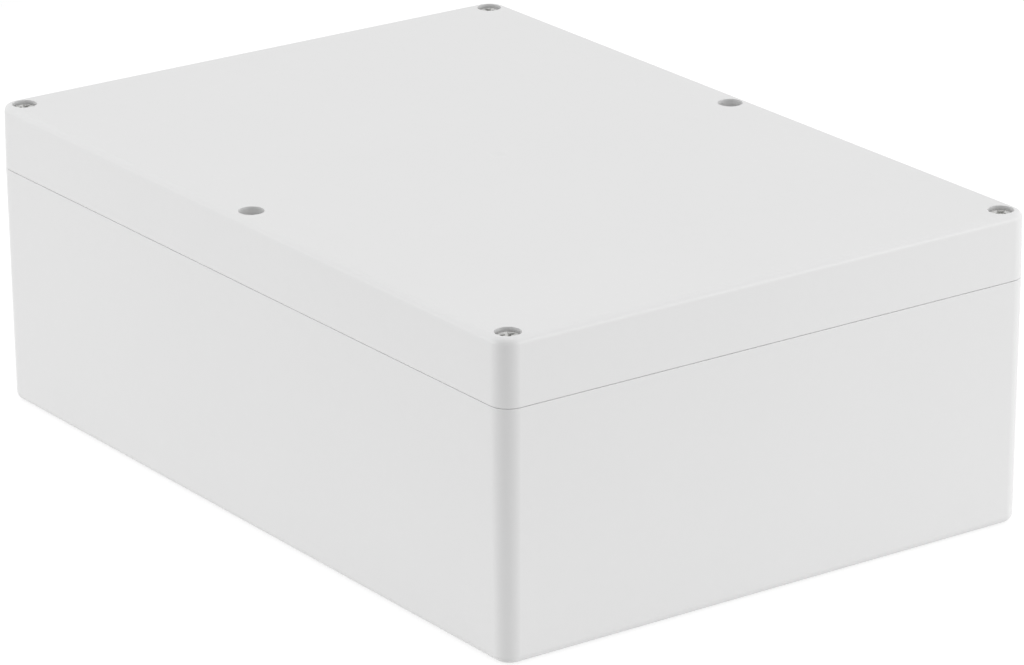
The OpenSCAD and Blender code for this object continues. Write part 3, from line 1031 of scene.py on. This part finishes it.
class ENCLOSURE_OT_stage(bpy.types.Operator):
    """Sets the white floor, the soft lamps, the world and the camera"""

    bl_idname = "enclosure.make_stage"
    bl_label = "Stage"

    def execute(self, context):
        stage = context.scene.enclosure_stage
        context.scene.view_settings.view_transform = "Standard"
        self.floor(stage)
        self.world(context.scene, stage)
        self.strip_lamp("left_strip_lamp", stage, stage.left_place, stage.left_power)
        self.strip_lamp("right_strip_lamp", stage, stage.right_place, stage.right_power)
        self.camera(context.scene, stage)
        return {"FINISHED"}

    def seen_share(self, wire):
        """One for rays from the camera, off gloss or through glass, which see plain white."""
        rays = wire.node("ShaderNodeLightPath").outputs
        bent = wire.math("MAXIMUM", rays["Is Glossy Ray"], rays["Is Transmission Ray"])
        return wire.math("MAXIMUM", rays["Is Camera Ray"], bent)

    def floor(self, stage):
        """A white floor, lit from below, that keeps a faint shadow."""
        half, level = stage.floor_width / 2, -FLOOR_DROP
        corners = [(-half, -half, level), (half, -half, level), (half, half, level), (-half, half, level)]
        data = bpy.data.meshes.new("white_floor")
        data.from_pydata(corners, [], [(0, 1, 2, 3)])
        material = bpy.data.materials.new("white_floor")
        material.use_nodes = True
        wire = Wiring(material.node_tree)
        wire.tree.nodes.clear()
        paint = wire.node("ShaderNodeBsdfDiffuse", Color=(stage.floor_paint,) * 3 + (1,))
        seen = self.seen_share(wire)
        glow = wire.node("ShaderNodeMix", Factor=seen, A=stage.floor_glow, B=stage.floor_lift)
        light = wire.node("ShaderNodeEmission", Strength=glow.outputs["Result"])
        both = wire.ordered("ShaderNodeAddShader", {}, (paint.outputs["BSDF"], light.outputs["Emission"]))
        wire.node("ShaderNodeOutputMaterial", Surface=both["Shader"])
        data.materials.append(material)
        add_object("white_floor", data)

    def world(self, scene, stage):
        """A white tent with low, dim openings in front and behind; the camera sees it as plain white."""
        scene.world = bpy.data.worlds.new("white_tent")
        scene.world.use_nodes = True
        wire = Wiring(scene.world.node_tree)
        way = wire.node("ShaderNodeTexCoord").outputs["Generated"]
        front = (math.sin(stage.opening_azimuth), -math.cos(stage.opening_azimuth), 0)
        steeper = wire.vector("MULTIPLY", way, (1, 1, stage.opening_flat))
        facing = wire.vector("DOT_PRODUCT", wire.vector("NORMALIZE", steeper), front)
        tent = stage.ambient
        for side, shade in ((1, stage.front_shade), (-1, stage.back_shade)):
            opening = wire.node(
                "ShaderNodeMapRange", {"interpolation_type": "SMOOTHSTEP"},
                Value=wire.math("MULTIPLY", facing, side),
                From_Min=math.cos(stage.opening_edge), From_Max=math.cos(stage.opening_core),
                To_Min=0, To_Max=stage.ambient * shade)
            tent = wire.math("SUBTRACT", tent, opening.outputs["Result"])
        background = wire.tree.nodes["Background"]
        background.inputs["Color"].default_value = (1, 1, 1, 1)
        strength = wire.node("ShaderNodeMix", Factor=self.seen_share(wire), A=tent, B=stage.backdrop)
        wire.feed(background.inputs["Strength"], strength.outputs["Result"])

    def strip_lamp(self, name, stage, place, power):
        """A low, wide lamp that faces the middle of the box."""
        data = bpy.data.lights.new(name, "AREA")
        data.shape = "RECTANGLE"
        data.size, data.size_y = stage.lamp_width, stage.lamp_height
        data.energy = power
        lamp = add_object(name, data)
        aim = Vector((0, 0, CAD_BOX[1].z / 2))
        lamp.location = place
        lamp.rotation_euler = (aim - lamp.location).to_track_quat("-Z", "Y").to_euler()
        lamp.visible_camera = False

    def camera(self, scene, stage):
        """The photograph's viewpoint."""
        data = bpy.data.cameras.new("product_camera")
        data.sensor_fit = "HORIZONTAL"
        data.lens = stage.lens
        camera = add_object("product_camera", data)
        around = Matrix.Rotation(stage.azimuth, 4, "Z")
        down = Matrix.Rotation(math.pi / 2 - stage.elevation, 4, "X")
        roll = Matrix.Rotation(stage.roll, 4, "Z")
        away = Matrix.Translation((0, 0, stage.distance))
        camera.matrix_world = Matrix.Translation(stage.target) @ around @ down @ roll @ away
        scene.camera = camera


class ENCLOSURE_PT_sidebar(bpy.types.Panel):
    """Sizes, finishes and makers of the enclosure"""

    bl_idname = "ENCLOSURE_PT_sidebar"
    bl_label = "Enclosure"
    bl_space_type = "VIEW_3D"
    bl_region_type = "UI"
    bl_category = "Enclosure"

    def draw(self, context):
        for key, group in GROUPS.items():
            box = self.layout.box()
            box.label(text=group.__doc__)
            for name in group.__annotations__:
                box.prop(getattr(context.scene, key), name)
        for operator in OPERATORS:
            self.layout.operator(operator.bl_idname)


GROUPS = {
    "enclosure_shell": EnclosureShell,
    "enclosure_seal": EnclosureSeal,
    "enclosure_fasteners": EnclosureFasteners,
    "enclosure_mountings": EnclosureMountings,
    "enclosure_finish": EnclosureFinish,
    "enclosure_stage": EnclosureStage,
}
OPERATORS = (
    ENCLOSURE_OT_base,
    ENCLOSURE_OT_lid,
    ENCLOSURE_OT_screws,
    ENCLOSURE_OT_inserts,
    ENCLOSURE_OT_gasket,
    ENCLOSURE_OT_stage,
)


def register():
    """Adds the property groups, the operators and the panel."""
    for group in GROUPS.values():
        bpy.utils.register_class(group)
    for key, group in GROUPS.items():
        setattr(bpy.types.Scene, key, PointerProperty(type=group))
    for kind in (*OPERATORS, ENCLOSURE_PT_sidebar):
        bpy.utils.register_class(kind)


def unregister():
    """Takes them out again."""
    for kind in (ENCLOSURE_PT_sidebar, *reversed(OPERATORS)):
        bpy.utils.unregister_class(kind)
    for key, group in GROUPS.items():
        delattr(bpy.types.Scene, key)
        bpy.utils.unregister_class(group)


def main():
    """Makes the stage and every piece."""
    register()
    bpy.ops.enclosure.make_stage()
    bpy.ops.enclosure.make_base()
    bpy.ops.enclosure.make_lid()
    bpy.ops.enclosure.make_screws()
    bpy.ops.enclosure.make_inserts()
    bpy.ops.enclosure.make_gasket()


if __name__ == "__main__":
    main()
